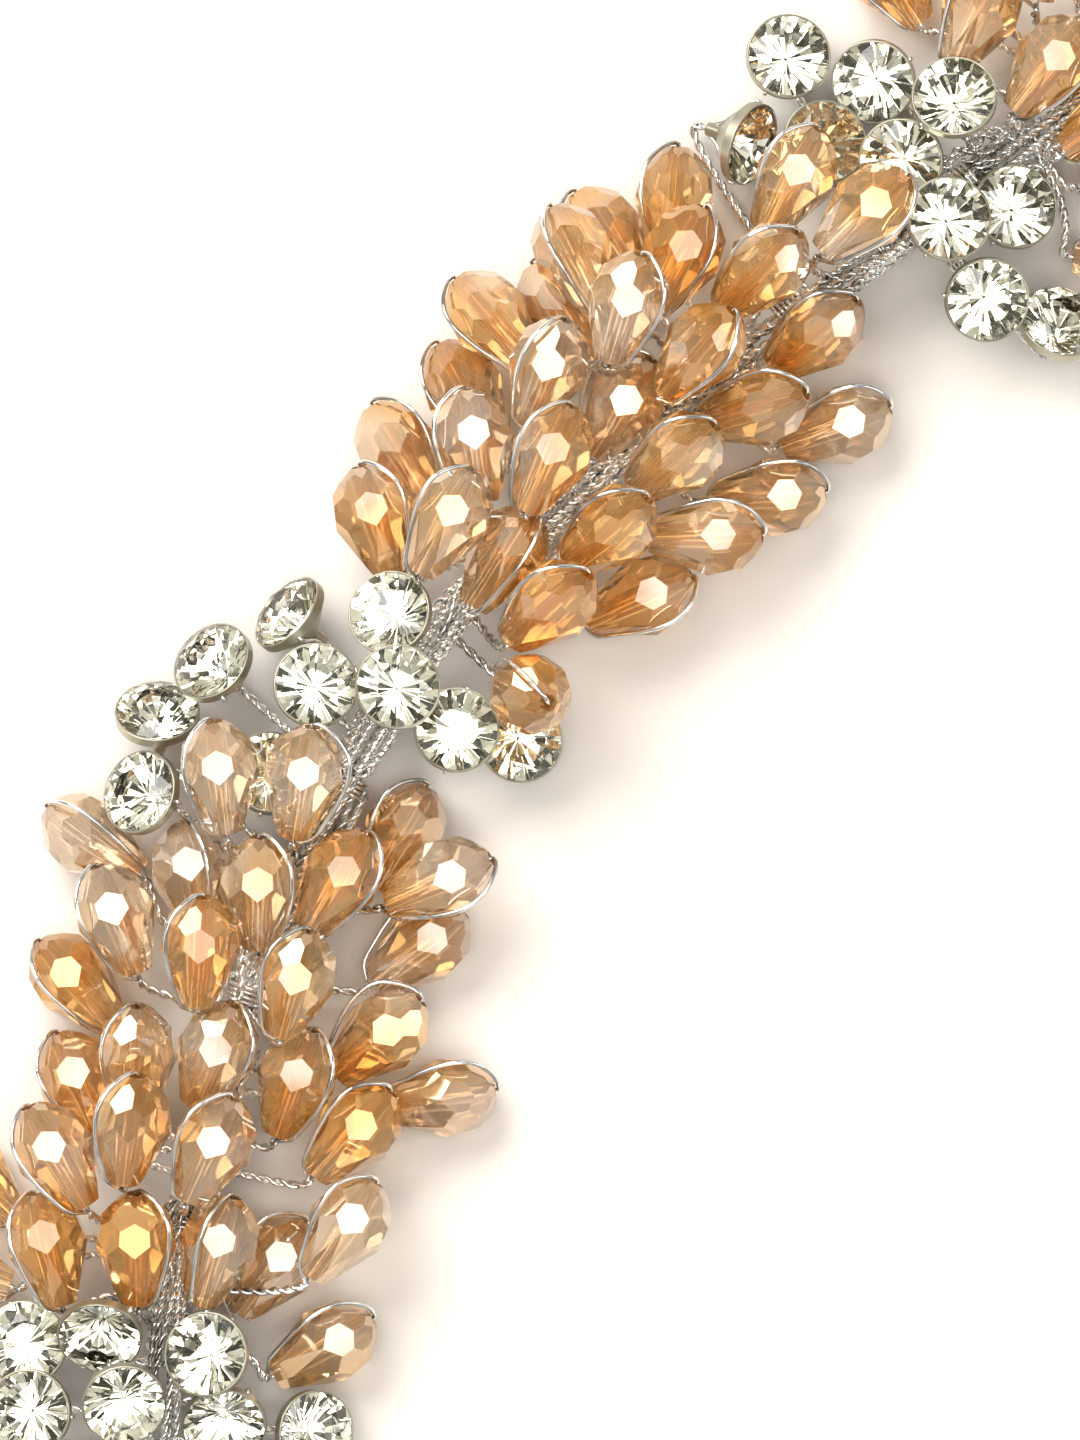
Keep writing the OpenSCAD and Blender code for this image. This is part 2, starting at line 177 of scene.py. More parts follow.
@dataclass(frozen=True)
class Vine:
    """Where everything lies on the vine, in millimetres, with the same values as its solids.

    The charts count from the start of the route, and the middle and the ground are where the frame
    has its origin.
    """

    route: tuple[Pair, ...] = (
        (-4, -13), (8, -4.5), (23, 2.5), (40, 7), (57, 8),
        (77, 3.5), (93, -1.5), (110, -6.5), (126, -11), (143, -14.5),
    )
    probe: float = 0.1
    bundle_z: float = 3.4
    end_run: float = 7
    stem_lean: float = 0.1
    stem_ease: float = 0.8
    stem_end: float = 0.45
    stem_steps: int = 24
    middle: Pair = (69.9, -1.9)
    ground: float = 0.156
    bead_l: float = 6.956
    stone_d: float = 4.5
    stone_h: float = 3.15
    girdle_z: float = 2.1735
    post: float = 1.02
    beads: tuple[Cluster, ...] = (
        Cluster("lower", Place(23.8, 3.1, 21), LEAF_CHART),
        Cluster("middle", Place(73, 5.1, -12), FAN_CHART),
        Cluster("upper", Place(113.6, -7.2, -17), LEAF_CHART),
    )
    stones: tuple[Cluster, ...] = (
        Cluster("lower", Place(8.4, -4.2, 35), LOWER_STONE_CHART),
        Cluster("middle", Place(48.9, 7.6, 0), MIDDLE_STONE_CHART),
        Cluster("upper", Place(94.2, -1.2, -17), UPPER_STONE_CHART),
    )

    def ends(self) -> Pair:
        """Return where the bundle starts and ends along the vine."""
        return self.route[0][0], self.route[-1][0]

    def span(self) -> Pair:
        """Return where the stretch that sprigs grow from starts and ends along the vine."""
        return self.ends()[0] + self.end_run, self.ends()[1] - self.end_run

    def slope(self, i: int) -> float:
        """Return the route's slope at its point of that number."""
        a, b = max(i - 1, 0), min(i + 1, len(self.route) - 1)
        return (self.route[b][1] - self.route[a][1]) / (self.route[b][0] - self.route[a][0])

    def route_y(self, x: float) -> float:
        """Return the route's y for an x, on a smooth curve through its points.

        Args:
            x: Place along the vine.

        Returns:
            The y, from the cubic with the route's slopes at the two points beside the place.
        """
        i = 0
        while i < len(self.route) - 2 and x >= self.route[i + 1][0]:
            i += 1
        (x0, y0), (x1, y1) = self.route[i], self.route[i + 1]
        run = x1 - x0
        u = (x - x0) / run
        return (
            (2 * u**3 - 3 * u**2 + 1) * y0
            + (u**3 - 2 * u**2 + u) * run * self.slope(i)
            + (3 * u**2 - 2 * u**3) * y1
            + (u**3 - u**2) * run * self.slope(i + 1)
        )

    def bundle_point(self, x: float, side: float = 0, up: float = 0) -> np.ndarray:
        """Return a point of the bundle.

        Args:
            x: Place along the vine.
            side: Distance from the bundle's middle to its left.
            up: Distance from the bundle's middle upwards.

        Returns:
            The point, in the charts' own coordinates.
        """
        rise = self.route_y(x + self.probe) - self.route_y(x - self.probe)
        heading = math.atan2(rise, 2 * self.probe)
        y = self.route_y(x) + side * math.cos(heading)
        return np.array([x - side * math.sin(heading), y, self.bundle_z + up])

    def spot(self, place: Place, along: float, across: float, height: float) -> np.ndarray:
        """Return the point of a cluster that lies so far along, across and up.

        Args:
            place: Place of the cluster.
            along: Distance from it in the way that it heads.
            across: Distance to the left of that way.
            height: Height of the point.

        Returns:
            The point, in the charts' own coordinates.
        """
        h = math.radians(place.heading)
        x = place.x + along * math.cos(h) - across * math.sin(h)
        y = place.y + along * math.sin(h) + across * math.cos(h)
        return np.array([x, y, height])

    def stem(self, place: Place, seat: Seat, way: np.ndarray, tip: np.ndarray) -> np.ndarray:
        """Return the curve of a sprig from the bundle to the point where its wire goes straight.

        Args:
            place: Place of the cluster.
            seat: Seat of the bead or stone in the cluster.
            way: Direction that the sprig ends in.
            tip: Point that it ends at.

        Returns:
            The points of the curve, one to a line.
        """
        h = math.radians(place.heading)
        dx, dy = tip[0] - place.x, tip[1] - place.y
        along = dx * math.cos(h) + dy * math.sin(h)
        across = dy * math.cos(h) - dx * math.sin(h)
        x = place.x + (along + seat.detour[0] - self.stem_lean * abs(across)) * math.cos(h)
        first, last = self.span()
        foot = self.bundle_point(min(max(x, first), last))
        ease = tip - self.stem_ease * way
        bend = self.spot(Place(0, 0, place.heading), *seat.detour)
        low = np.array([ease[0], ease[1], min(ease[2], foot[2])]) + bend
        u = np.linspace(0, 1, self.stem_steps + 1)[:, None]
        start = (1 - u) ** 3 * foot + 3 * u * (1 - u) ** 2 * low
        return start + 3 * u**2 * (1 - u) * ease + u**3 * tip

    def bead_pose(self, place: Place, seat: Seat) -> tuple[np.ndarray, np.ndarray]:
        """Return the narrow tip of a bead and the direction of its bore."""
        way = aim(place.heading + seat.heading, seat.tilt)
        return self.spot(place, seat.along, seat.across, seat.height) - self.bead_l / 2 * way, way

    def stone_pose(self, place: Place, seat: Seat) -> tuple[np.ndarray, np.ndarray]:
        """Return the culet of a stone and the direction that its table faces."""
        way = aim(place.heading + seat.heading, 90 - seat.tilt)
        return self.spot(place, seat.along, seat.across, seat.height) - self.girdle_z * way, way

    def settle(self, points: np.ndarray) -> np.ndarray:
        """Return points of the charts in the frame, in metres."""
        return (points - np.array([self.middle[0], self.middle[1], self.ground])) * MM


def upright(way: np.ndarray) -> tuple[np.ndarray, np.ndarray]:
    """Return the upper and the level direction square to a direction.

    Args:
        way: The direction, at length one.

    Returns:
        The upper and the level direction, at length one.
    """
    level = np.cross(way, (0, 0, 1))
    steep = np.linalg.norm(level) <= LEVEL_LEAST
    level = np.array([0.0, 1.0, 0.0]) if steep else unit_vector(level)
    return np.cross(level, way), level


def around(way: np.ndarray, angle: float) -> np.ndarray:
    """Return the direction square to a direction that lies an angle in radians from its top."""
    up, level = upright(way)
    return math.cos(angle) * up + math.sin(angle) * level


def smooth_path(points: Sequence[Sequence[float]], per_span: int = 6) -> np.ndarray:
    """Return a rounded path through the points.

    Args:
        points: Points that the path goes through.
        per_span: Number of steps between two of them.

    Returns:
        The points of the path, one to a line.
    """
    p = np.asarray(points, float)
    p = np.vstack([2 * p[0] - p[1], p, 2 * p[-1] - p[-2]])
    out = []
    for a, b, c, d in zip(p, p[1:], p[2:], p[3:]):
        for u in np.arange(per_span) / per_span:
            out.append(
                0.5
                * (
                    2 * b
                    + (c - a) * u
                    + (2 * a - 5 * b + 4 * c - d) * u**2
                    + (3 * b - a - 3 * c + d) * u**3
                )
            )
    return np.vstack([out, p[-2]])


@dataclass
class Crowd:
    """Balls that fill every bead and stone of the vine, in millimetres, for wires to keep clear of.

    A bead's balls are a share of its length and a radius each. A stone has one ball over its culet
    and a ring of them in its crown.
    """

    vine: Vine
    bead_balls: tuple[Pair, ...] = (
        (0.1, 1.3), (0.3, 1.9), (0.5, 2.4), (0.68, 2.4), (0.85, 1.9), (0.95, 1.1),
    )
    back_z: float = 0.9
    back_r: float = 1.2
    crown_z: float = 1.95
    crown_out: float = 1.5
    crown_r: float = 1.1
    crown_count: int = 6
    same_tip: float = 0.01

    def __post_init__(self) -> None:
        """Fill the beads and stones."""
        rows = []
        for cluster in self.vine.beads:
            for seat in cluster.seats():
                tip, way = self.vine.bead_pose(cluster.place, seat)
                for share, radius in self.bead_balls:
                    rows.append([*(tip + share * self.vine.bead_l * way), radius, *tip])
        for cluster in self.vine.stones:
            for seat in cluster.seats():
                culet, way = self.vine.stone_pose(cluster.place, seat)
                rows.append([*(culet + self.back_z * way), self.back_r, *culet])
                for i in range(self.crown_count):
                    arm = around(way, math.radians(360 / self.crown_count * i))
                    centre = culet + self.crown_z * way + self.crown_out * arm
                    rows.append([*centre, self.crown_r, *culet])
        table = np.array(rows)
        self.centres, self.radii, self.tips = table[:, :3], table[:, 3], table[:, 4:]

    def others(self, tip: np.ndarray) -> tuple[np.ndarray, np.ndarray]:
        """Return the balls that keep clear of a bead or stone.

        Args:
            tip: Tip of the bead or stone, whose own balls are left out.

        Returns:
            Their centres, one to a line, and their radii.
        """
        far = np.linalg.norm(self.tips - tip, axis=1) > self.same_tip
        return self.centres[far], self.radii[far]


def to_mesh(name: str, bm: bmesh.types.BMesh) -> bpy.types.Mesh:
    """Turn a bmesh into a mesh.

    Args:
        name: Name of the mesh.
        bm: The bmesh, which is freed.

    Returns:
        The mesh.
    """
    mesh = bpy.data.meshes.new(name)
    bm.to_mesh(mesh)
    bm.free()
    return mesh


def show(name: str, data: bpy.types.ID) -> bpy.types.Object:
    """Put a mesh, a light or a camera into the scene.

    Args:
        name: Name of the object.
        data: The mesh, light or camera.

    Returns:
        The object, at the origin.
    """
    made = bpy.data.objects.new(name, data)
    bpy.context.scene.collection.objects.link(made)
    return made


@dataclass
class WireBench:
    """Makes wire, in millimetres: it is spun straight and then bent along its path."""

    vine: Vine
    gauge: float = 0.3
    lay: float = 1.7
    sides: int = 5
    turn_steps: int = 12
    plain_step: float = 0.4
    least_steps: int = 3

    def plain(self, length: float) -> bmesh.types.BMesh:
        """Return a straight plain wire that stands on Z.

        Args:
            length: Length of the wire.

        Returns:
            The wire, as an open tube.
        """
        bm = bmesh.new()
        steps = max(self.least_steps, round(length / self.plain_step))
        bmesh.ops.create_circle(bm, segments=self.sides, radius=self.gauge / 2)
        rise = (0, 0, length / steps)
        end = bm.verts[:] + bm.edges[:]
        bmesh.ops.spin(bm, geom=end, axis=(0, 0, 1), dvec=rise, angle=0, steps=steps)
        return bm

    def one_turn(self) -> bpy.types.Mesh:
        """Return one turn of a twisted pair that stands on Z.

        Returns:
            The turn, as two open tubes in millimetres.
        """
        bm = bmesh.new()
        lean = math.atan2(math.pi * self.gauge, self.lay)
        for side in (1, -1):
            slant = Matrix.Rotation(-side * lean, 4, "X")
            place = Matrix.Translation((side * self.gauge / 2, 0, 0)) @ slant
            bmesh.ops.create_circle(bm, segments=self.sides, radius=self.gauge / 2, matrix=place)
        rise = (0, 0, self.lay / self.turn_steps)
        ends = bm.verts[:] + bm.edges[:]
        bmesh.ops.spin(
            bm, geom=ends, axis=(0, 0, 1), dvec=rise, angle=math.tau, steps=self.turn_steps
        )
        return to_mesh("turn", bm)

    def twisted(self, length: float) -> bmesh.types.BMesh:
        """Return a straight twisted pair that stands on Z, as open tubes.

        Args:
            length: Length of the pair.

        Returns:
            The pair, laid turn on turn and drawn to that length.
        """
        bm = bmesh.new()
        turns = max(1, round(length / self.lay))
        turn = self.one_turn()
        for _ in range(turns):
            bm.from_mesh(turn)
            turn.transform(Matrix.Translation((0, 0, self.lay)))
        bpy.data.meshes.remove(turn)
        bmesh.ops.remove_doubles(bm, verts=bm.verts, dist=WELD)
        bmesh.ops.scale(bm, vec=(1, 1, length / (turns * self.lay)), verts=bm.verts)
        return bm

    def lay_wire(
        self, into: bmesh.types.BMesh, path: np.ndarray, lay: Lay = Lay.TWISTED
    ) -> None:
        """Spin a wire as long as the path, bend it along the path and add it to a mesh.

        Args:
            into: Mesh that the wire is added to, in metres.
            path: Points of the path, in the charts' own coordinates.
            lay: Whether it is one plain wire or a twisted pair.
        """
        runs = np.linalg.norm(np.diff(path, axis=0), axis=1)
        reach = np.concatenate([[0], np.cumsum(runs)])
        ways = np.gradient(path, reach, axis=0)
        ways /= np.linalg.norm(ways, axis=1)[:, None]
        side = upright(ways[0])[0]
        sides = []
        for way in ways:
            side = unit_vector(side - side.dot(way) * way)
            sides.append(side)
        wire = self.twisted(reach[-1]) if lay is Lay.TWISTED else self.plain(reach[-1])
        rims = [edge for edge in wire.edges if edge.is_boundary]
        bmesh.ops.holes_fill(wire, edges=rims, sides=self.sides)
        bmesh.ops.recalc_face_normals(wire, faces=wire.faces)
        mesh = to_mesh("wire", wire)
        co = np.empty(len(mesh.vertices) * 3)
        mesh.vertices.foreach_get("co", co)
        co = co.reshape(-1, 3)
        z = np.clip(co[:, 2], 0, reach[-1])

        def at(values: np.ndarray) -> np.ndarray:
            """Return the values of the path's points, read at each vertex's height."""
            return np.stack([np.interp(z, reach, values[:, k]) for k in range(3)], axis=1)

        way, across = at(ways), at(np.array(sides))
        way /= np.linalg.norm(way, axis=1)[:, None]
        across /= np.linalg.norm(across, axis=1)[:, None]
        over = (co[:, 2] - z)[:, None]
        bent = at(path) + co[:, :1] * across + co[:, 1:2] * np.cross(way, across) + over * way
        mesh.vertices.foreach_set("co", self.vine.settle(bent).ravel())
        into.from_mesh(mesh)
        bpy.data.meshes.remove(mesh)


def add_piece(
    name: str,
    bm: bmesh.types.BMesh,
    finishes: Sequence[bpy.types.Material],
    stands_for: Sequence[str] = (),
    smooth: bool = True,
) -> bpy.types.Object:
    """Turn a mesh into a piece of the vine.

    Args:
        name: Name of the piece.
        bm: Its mesh, in metres, which is freed.
        finishes: Materials in the order of the mesh's material numbers.
        stands_for: CAD nodes that the piece replaces.
        smooth: Whether its faces are shaded smooth.

    Returns:
        The piece's object.
    """
    mesh = to_mesh(name, bm)
    if smooth:
        mesh.shade_smooth()
    for finish in finishes:
        mesh.materials.append(finish)
    piece = show(name, mesh)
    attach(piece, "root")
    if stands_for:
        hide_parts(*stands_for)
    LOG.info("%s: %d triangles", name, sum(len(p.vertices) - 2 for p in mesh.polygons))
    return piece


class Value:
    """A socket in shader maths, on which the usual operators add Math nodes."""

    def __init__(self, shades: "Shades", socket: bpy.types.NodeSocket) -> None:
        """Keep the node tree and the socket."""
        self.shades = shades
        self.socket = socket

    def _math(self, operation: str, *values: "Value | float") -> "Value":
        """Return the result of a Math node."""
        return self.shades.node("ShaderNodeMath", {"operation": operation}, dict(enumerate(values)))

    def __add__(self, other: "Value | float") -> "Value":
        """Return the sum."""
        return self._math("ADD", self, other)

    def __radd__(self, other: float) -> "Value":
        """Return the sum."""
        return self._math("ADD", other, self)

    def __sub__(self, other: "Value | float") -> "Value":
        """Return the difference."""
        return self._math("SUBTRACT", self, other)

    def __rsub__(self, other: float) -> "Value":
        """Return the difference the other way round."""
        return self._math("SUBTRACT", other, self)

    def __mul__(self, other: "Value | float") -> "Value":
        """Return the product."""
        return self._math("MULTIPLY", self, other)

    def __rmul__(self, other: float) -> "Value":
        """Return the product."""
        return self._math("MULTIPLY", other, self)

    def sine(self) -> "Value":
        """Return the sine."""
        return self._math("SINE", self)

    def step(self, edge: Pair) -> "Value":
        """Return a smooth step that rises from 0 at the edge's low end to 1 at its high end."""
        inputs = {"Value": self, "From Min": edge[0], "From Max": edge[1]}
        return self.shades.node("ShaderNodeMapRange", {"interpolation_type": "SMOOTHSTEP"}, inputs)


class Shades:
    """Builds the nodes of a material or of the sky."""

    def __init__(self, owner: bpy.types.Material | bpy.types.World) -> None:
        """Start an empty node tree.

        Args:
            owner: Material or world that the nodes are for.
        """
        self.owner = owner
        owner.use_nodes = True
        self.tree = owner.node_tree
        self.tree.nodes.clear()

    @classmethod
    def material(cls, name: str) -> "Shades":
        """Start a new material."""
        return cls(bpy.data.materials.new(name))

    def node(
        self,
        kind: str,
        settings: dict | None = None,
        inputs: dict | None = None,
        output: int | str = 0,
    ) -> Value:
        """Add a node.

        Args:
            kind: Type of the node.
            settings: Properties that are set first.
            inputs: Values or links of its sockets, by name or number.
            output: Socket that is returned.

        Returns:
            The wrapped output socket.
        """
        made = self.tree.nodes.new(kind)
        for key, value in (settings or {}).items():
            if key == "stops":
                ramp = made.color_ramp.elements
                while len(ramp) < len(value):
                    ramp.new(1)
                for element, (place, colour) in zip(ramp, value):
                    element.position, element.color = place, colour
            else:
                setattr(made, key, value)
        for key, value in (inputs or {}).items():
            if isinstance(value, Value):
                self.tree.links.new(value.socket, made.inputs[key])
            else:
                made.inputs[key].default_value = value
        return Value(self, made.outputs[output])

    def place(self) -> Value:
        """Return the Object coordinates."""
        return self.node("ShaderNodeTexCoord", output="Object")

    def noise(self, patch_mm: float, detail: float) -> Value:
        """Return a noise whose patches are about that many millimetres wide."""
        inputs = {"Vector": self.place(), "Scale": 1 / (patch_mm * MM), "Detail": detail}
        return self.node("ShaderNodeTexNoise", inputs=inputs, output="Fac")

    def ramp(self, value: Value, stops: Stops) -> Value:
        """Return the colour of a ramp at a value."""
        return self.node("ShaderNodeValToRGB", {"stops": stops}, {"Fac": value}, "Color")

    def bump(self, height: Value, depth_mm: float, strength: float) -> Value:
        """Return the normal of a low relief."""
        inputs = {"Height": height, "Distance": depth_mm * MM, "Strength": strength}
        return self.node("ShaderNodeBump", inputs=inputs)

    def finish(self, surface: dict) -> bpy.types.Material:
        """Close the material with a Principled shader.

        Args:
            surface: Values or links of the shader's sockets.

        Returns:
            The material.
        """
        shader = self.node("ShaderNodeBsdfPrincipled", inputs=surface)
        self.close("ShaderNodeOutputMaterial", shader)
        return self.owner

    def close(self, kind: str, shader: Value) -> None:
        """Join a shader to an output node of that type."""
        made = self.tree.nodes.new(kind)
        self.tree.links.new(shader.socket, made.inputs["Surface"])


@dataclass(frozen=True)
class HoneyGlass:
    """Pressed glass of the drop beads, deep honey to champagne.

    A pale film lies on it in patches and takes the place of its gloss there.
    """

    tints: Stops = (
        (0.34, (0.935, 0.515, 0.155, 1)),
        (0.48, (0.95, 0.63, 0.295, 1)),
        (0.66, (0.965, 0.78, 0.58, 1)),
    )
    tint_mm: float = 9
    film_mm: float = 6.5
    film_edge: Pair = (0.42, 0.62)
    film_metal: float = 0.36
    least_metal: float = 0.06
    film_rough: float = 0.05
    least_rough: float = 0.03
    film_cover: float = 0.7
    gloss_mm: float = 9.5
    gloss_edge: Pair = (0.42, 0.54)
    least_gloss: float = 0.3
    clear: float = 0.82
    index: float = 1.52
    gloss_index: float = 2.1
    gloss_rough: float = 0.02

    def material(self) -> bpy.types.Material:
        """Build the material.

        Returns:
            The material, for the pieces to wear.
        """
        shades = Shades.material("honey_glass")
        colour = shades.ramp(shades.noise(self.tint_mm, 1), self.tints)
        film = shades.noise(self.film_mm, 1).step(self.film_edge)
        shine = shades.noise(self.gloss_mm, 1).step(self.gloss_edge)
        gloss = self.least_gloss + (1 - self.least_gloss) * shine
        return shades.finish(
            {
                "Base Color": colour,
                "Metallic": self.least_metal + film * self.film_metal,
                "Roughness": self.least_rough + self.film_rough * film,
                "Transmission Weight": self.clear,
                "IOR": self.index,
                "Coat Weight": gloss * (1 - self.film_cover * film),
                "Coat Roughness": self.gloss_rough,
                "Coat IOR": self.gloss_index,
            }
        )


@dataclass(frozen=True)
class ClearGlass:
    """Clear glass of the stones' crowns, clouded a little in places."""

    tints: Stops = ((0, (0.985, 0.985, 0.955, 1)), (1, (0.96, 0.96, 0.925, 1)))
    cloud_mm: float = 1.5
    cloud_edge: Pair = (0.4, 0.7)
    cloud_rough: float = 0.02
    least_rough: float = 0.01
    index: float = 1.6

    def material(self) -> bpy.types.Material:
        """Build the material.

        Returns:
            The material, for the pieces to wear.
        """
        shades = Shades.material("clear_glass")
        cloud = shades.noise(self.cloud_mm, 1).step(self.cloud_edge)
        return shades.finish(
            {
                "Base Color": shades.ramp(cloud, self.tints),
                "Roughness": self.least_rough + self.cloud_rough * cloud,
                "Transmission Weight": 1.0,
                "IOR": self.index,
            }
        )


@dataclass(frozen=True)
class Metal:
    """A metal finish whose tint and gloss vary in patches, with or without a fine relief."""

    name: str
    tints: Stops
    patch_mm: float
    detail: float
    metallic: float
    least_rough: float
    patch_rough: float
    relief_mm: float = 0
    relief_depth_mm: float = 0
    relief_strength: float = 0

    def material(self) -> bpy.types.Material:
        """Build the material.

        Returns:
            The material, for the pieces to wear.
        """
        shades = Shades.material(self.name)
        patches = shades.noise(self.patch_mm, self.detail)
        surface = {
            "Base Color": shades.ramp(patches, self.tints),
            "Metallic": self.metallic,
            "Roughness": self.least_rough + self.patch_rough * patches,
        }
        if self.relief_mm:
            relief = shades.noise(self.relief_mm, 2)
            surface["Normal"] = shades.bump(relief, self.relief_depth_mm, self.relief_strength)
        return shades.finish(surface)


# Silver foil behind the stones
FOIL = Metal(
    name="silver_foil",
    tints=((0.35, (0.83, 0.81, 0.70, 1)), (0.6, (0.96, 0.95, 0.87, 1))),
    patch_mm=2.2,
    detail=2,
    metallic=1.0,
    least_rough=0.02,
    patch_rough=0.04,
)
# Smooth olive and tan metal of the settings
SETTING_METAL = Metal(
    name="setting_metal",
    tints=((0.35, (0.30, 0.28, 0.20, 1)), (0.62, (0.56, 0.53, 0.43, 1))),
    patch_mm=5,
    detail=2,
    metallic=0.85,
    least_rough=0.30,
    patch_rough=0.12,
    relief_mm=0.25,
    relief_depth_mm=0.01,
    relief_strength=0.4,
)
# Bright silver of the wire, slightly duller in places
SILVER = Metal(
    name="silver_wire",
    tints=((0.35, (0.50, 0.49, 0.46, 1)), (0.55, (0.90, 0.90, 0.88, 1))),
    patch_mm=3,
    detail=3,
    metallic=1.0,
    least_rough=0.05,
    patch_rough=0.12,
    relief_mm=0.12,
    relief_depth_mm=0.004,
    relief_strength=0.3,
)


@dataclass
class Sprigs:
    """The wires of one cluster: twisted pairs, and the single wires at its beads and stones.

    Each point of the bead loop is a share of the bead's length and a distance from its bore. Each
    point of the cup run is a height over the culet and a distance from the stone's middle. Sizes
    are in millimetres.
    """

    vine: Vine
    bench: WireBench
    crowd: Crowd
    beads: Cluster
    stones: Cluster
    silver: bpy.types.Material
    tail_share: float = 0.6
    tail_run: Pair = (4, 9)
    tail_rise: Pair = (0.7, 1.2)
    tail_spill: float = 0.4
    tail_drift: float = 1.4
    tail_points: int = 7
    tail_fewest: int = 4
    tail_step_least: float = 0.3
    tail_climb: float = 3
    tail_w: float = 1.75
    tail_t: float = 1.25
    bead_loop: tuple[Pair, ...] = (
        (0, 0), (0.5, 0), (1.0, 0.04), (1.035, 0.35), (1.017, 0.95), (0.93, 1.95),
        (0.80, 2.62), (0.62, 2.78), (0.40, 2.45), (0.20, 1.90), (0.03, 1.30),
    )
    loop_close: float = 0.15
    kink: float = 0.04
    kink_from: int = 4
    kink_turn: float = 5.1
    kink_shift: float = 40
    side_angles: range = range(-96, 97, 12)
    side_best: float = 48
    side_cost: float = 0.0012
    room_enough: float = 0.45
    bore_points: int = 18
    cup_run: tuple[Pair, ...] = (
        (2.00, 2.58), (1.75, 2.72), (1.26, 2.21), (0.50, 1.31),
        (-0.02, 0.71), (-0.45, 0.50), (-0.85, 0.25),
    )
    cup_close: float = 0.1
    cup_turn: float = 1.7
    cup_shift: float = 20

    def tail_path(self, foot_x: float, wander: random.Random) -> np.ndarray:
        """Return the path of a sprig's tail, which lies loose on the bundle beyond its foot.

        Args:
            foot_x: Place of the foot along the vine.
            wander: Source of its wandering.

        Returns:
            The points of its path, or none where the bundle ends too soon.
        """
        first, last = self.vine.span()
        way = 1 if foot_x < (first + last) / 2 else -1
        run = wander.uniform(*self.tail_run)
        turn = wander.uniform(-self.tail_spill, math.pi + self.tail_spill)
        drift = wander.uniform(-self.tail_drift, self.tail_drift)
        points = []
        for u in np.linspace(0, 1, self.tail_points):
            a = turn + drift * u
            rise = min(1, self.tail_climb * u) * wander.uniform(*self.tail_rise)
            x = min(max(foot_x + way * run * u, first), last)
            if points and abs(x - points[-1][0]) < self.tail_step_least:
                break
            side = self.tail_w * rise * math.cos(a)
            points.append(self.vine.bundle_point(x, side, self.tail_t * rise * math.sin(a)))
        return smooth_path(points, 3) if len(points) >= self.tail_fewest else np.empty((0, 3))

    def loop_path(self, tip: np.ndarray, way: np.ndarray, side: np.ndarray) -> np.ndarray:
        """Return the path of a bead's wire: through the bore, over the bulb and back.

        Args:
            tip: Narrow tip of the bead.
            way: Direction of its bore.
            side: Direction of the side along which the wire comes back.

        Returns:
            The points of the path, one to a line.
        """
        length = self.vine.bead_l
        start = tip - self.vine.stem_end * way
        points = [start] + [tip + share * length * way + r * side for share, r in self.bead_loop]
        for i in range(self.kink_from, len(points)):
            wave = math.sin(self.kink_turn * i + self.kink_shift * tip[0])
            points[i] = points[i] + self.kink * (1 + wave) * side
        return smooth_path(points + [start + self.loop_close * side])

    def clear_side(self, tip: np.ndarray, way: np.ndarray) -> np.ndarray:
        """Return the side of a bead on which its wire keeps furthest from the neighbours.

        Args:
            tip: Narrow tip of the bead.
            way: Direction of its bore.

        Returns:
            The direction of that side, near the top where there is room enough.
        """
        centres, radii = self.crowd.others(tip)
        best, best_room = upright(way)[0], -math.inf
        for angle in self.side_angles:
            side = around(way, math.radians(angle))
            path = self.loop_path(tip, way, side)[self.bore_points:]
            room = (np.linalg.norm(path[:, None] - centres[None], axis=2) - radii).min()
            lean = abs(abs(angle) - self.side_best)
            room = min(room, self.room_enough) - self.side_cost * lean
            if room > best_room:
                best, best_room = side, room
        return best

    def lay_bead(self, bm: bmesh.types.BMesh, seat: Seat, wander: random.Random) -> None:
        """Lay the sprig of a bead, its tail and the wire round the bead.

        Args:
            bm: Mesh that the wires are added to.
            seat: Seat of the bead.
            wander: Source of the tail's wandering.
        """
        tip, way = self.vine.bead_pose(self.beads.place, seat)
        end = tip - self.vine.stem_end * way
        stem = self.vine.stem(self.beads.place, seat, way, end)
        self.bench.lay_wire(bm, stem)
        tail = self.tail_path(stem[0][0], wander)
        if len(tail) and wander.random() < self.tail_share:
            self.bench.lay_wire(bm, tail)
        self.bench.lay_wire(bm, self.loop_path(tip, way, self.clear_side(tip, way)), Lay.PLAIN)

    def lay_stone(self, bm: bmesh.types.BMesh, seat: Seat) -> None:
        """Lay the sprig of a stone and the two wires on its setting.

        Args:
            bm: Mesh that the wires are added to.
            seat: Seat of the stone.
        """
        culet, way = self.vine.stone_pose(self.stones.place, seat)
        post = culet - self.vine.post * way
        self.bench.lay_wire(bm, self.vine.stem(self.stones.place, seat, way, post))
        side = around(way, math.radians(seat.heading * self.cup_turn + self.cup_shift))
        for hand in (side, -side):
            points = [culet + z * way + r * hand for z, r in self.cup_run]
            path = smooth_path(points + [post + self.cup_close * hand], 4)
            self.bench.lay_wire(bm, path, Lay.PLAIN)

    def build(self) -> bpy.types.Object:
        """Lay all the cluster's wires.

        Returns:
            The piece that they make up.
        """
        bm = bmesh.new()
        wander = random.Random(self.beads.name)
        for seat in self.beads.seats():
            self.lay_bead(bm, seat, wander)
        for seat in self.stones.seats():
            self.lay_stone(bm, seat)
        name = f"{self.beads.name}_sprigs"
        return add_piece(name, bm, [self.silver], ["wirework"])


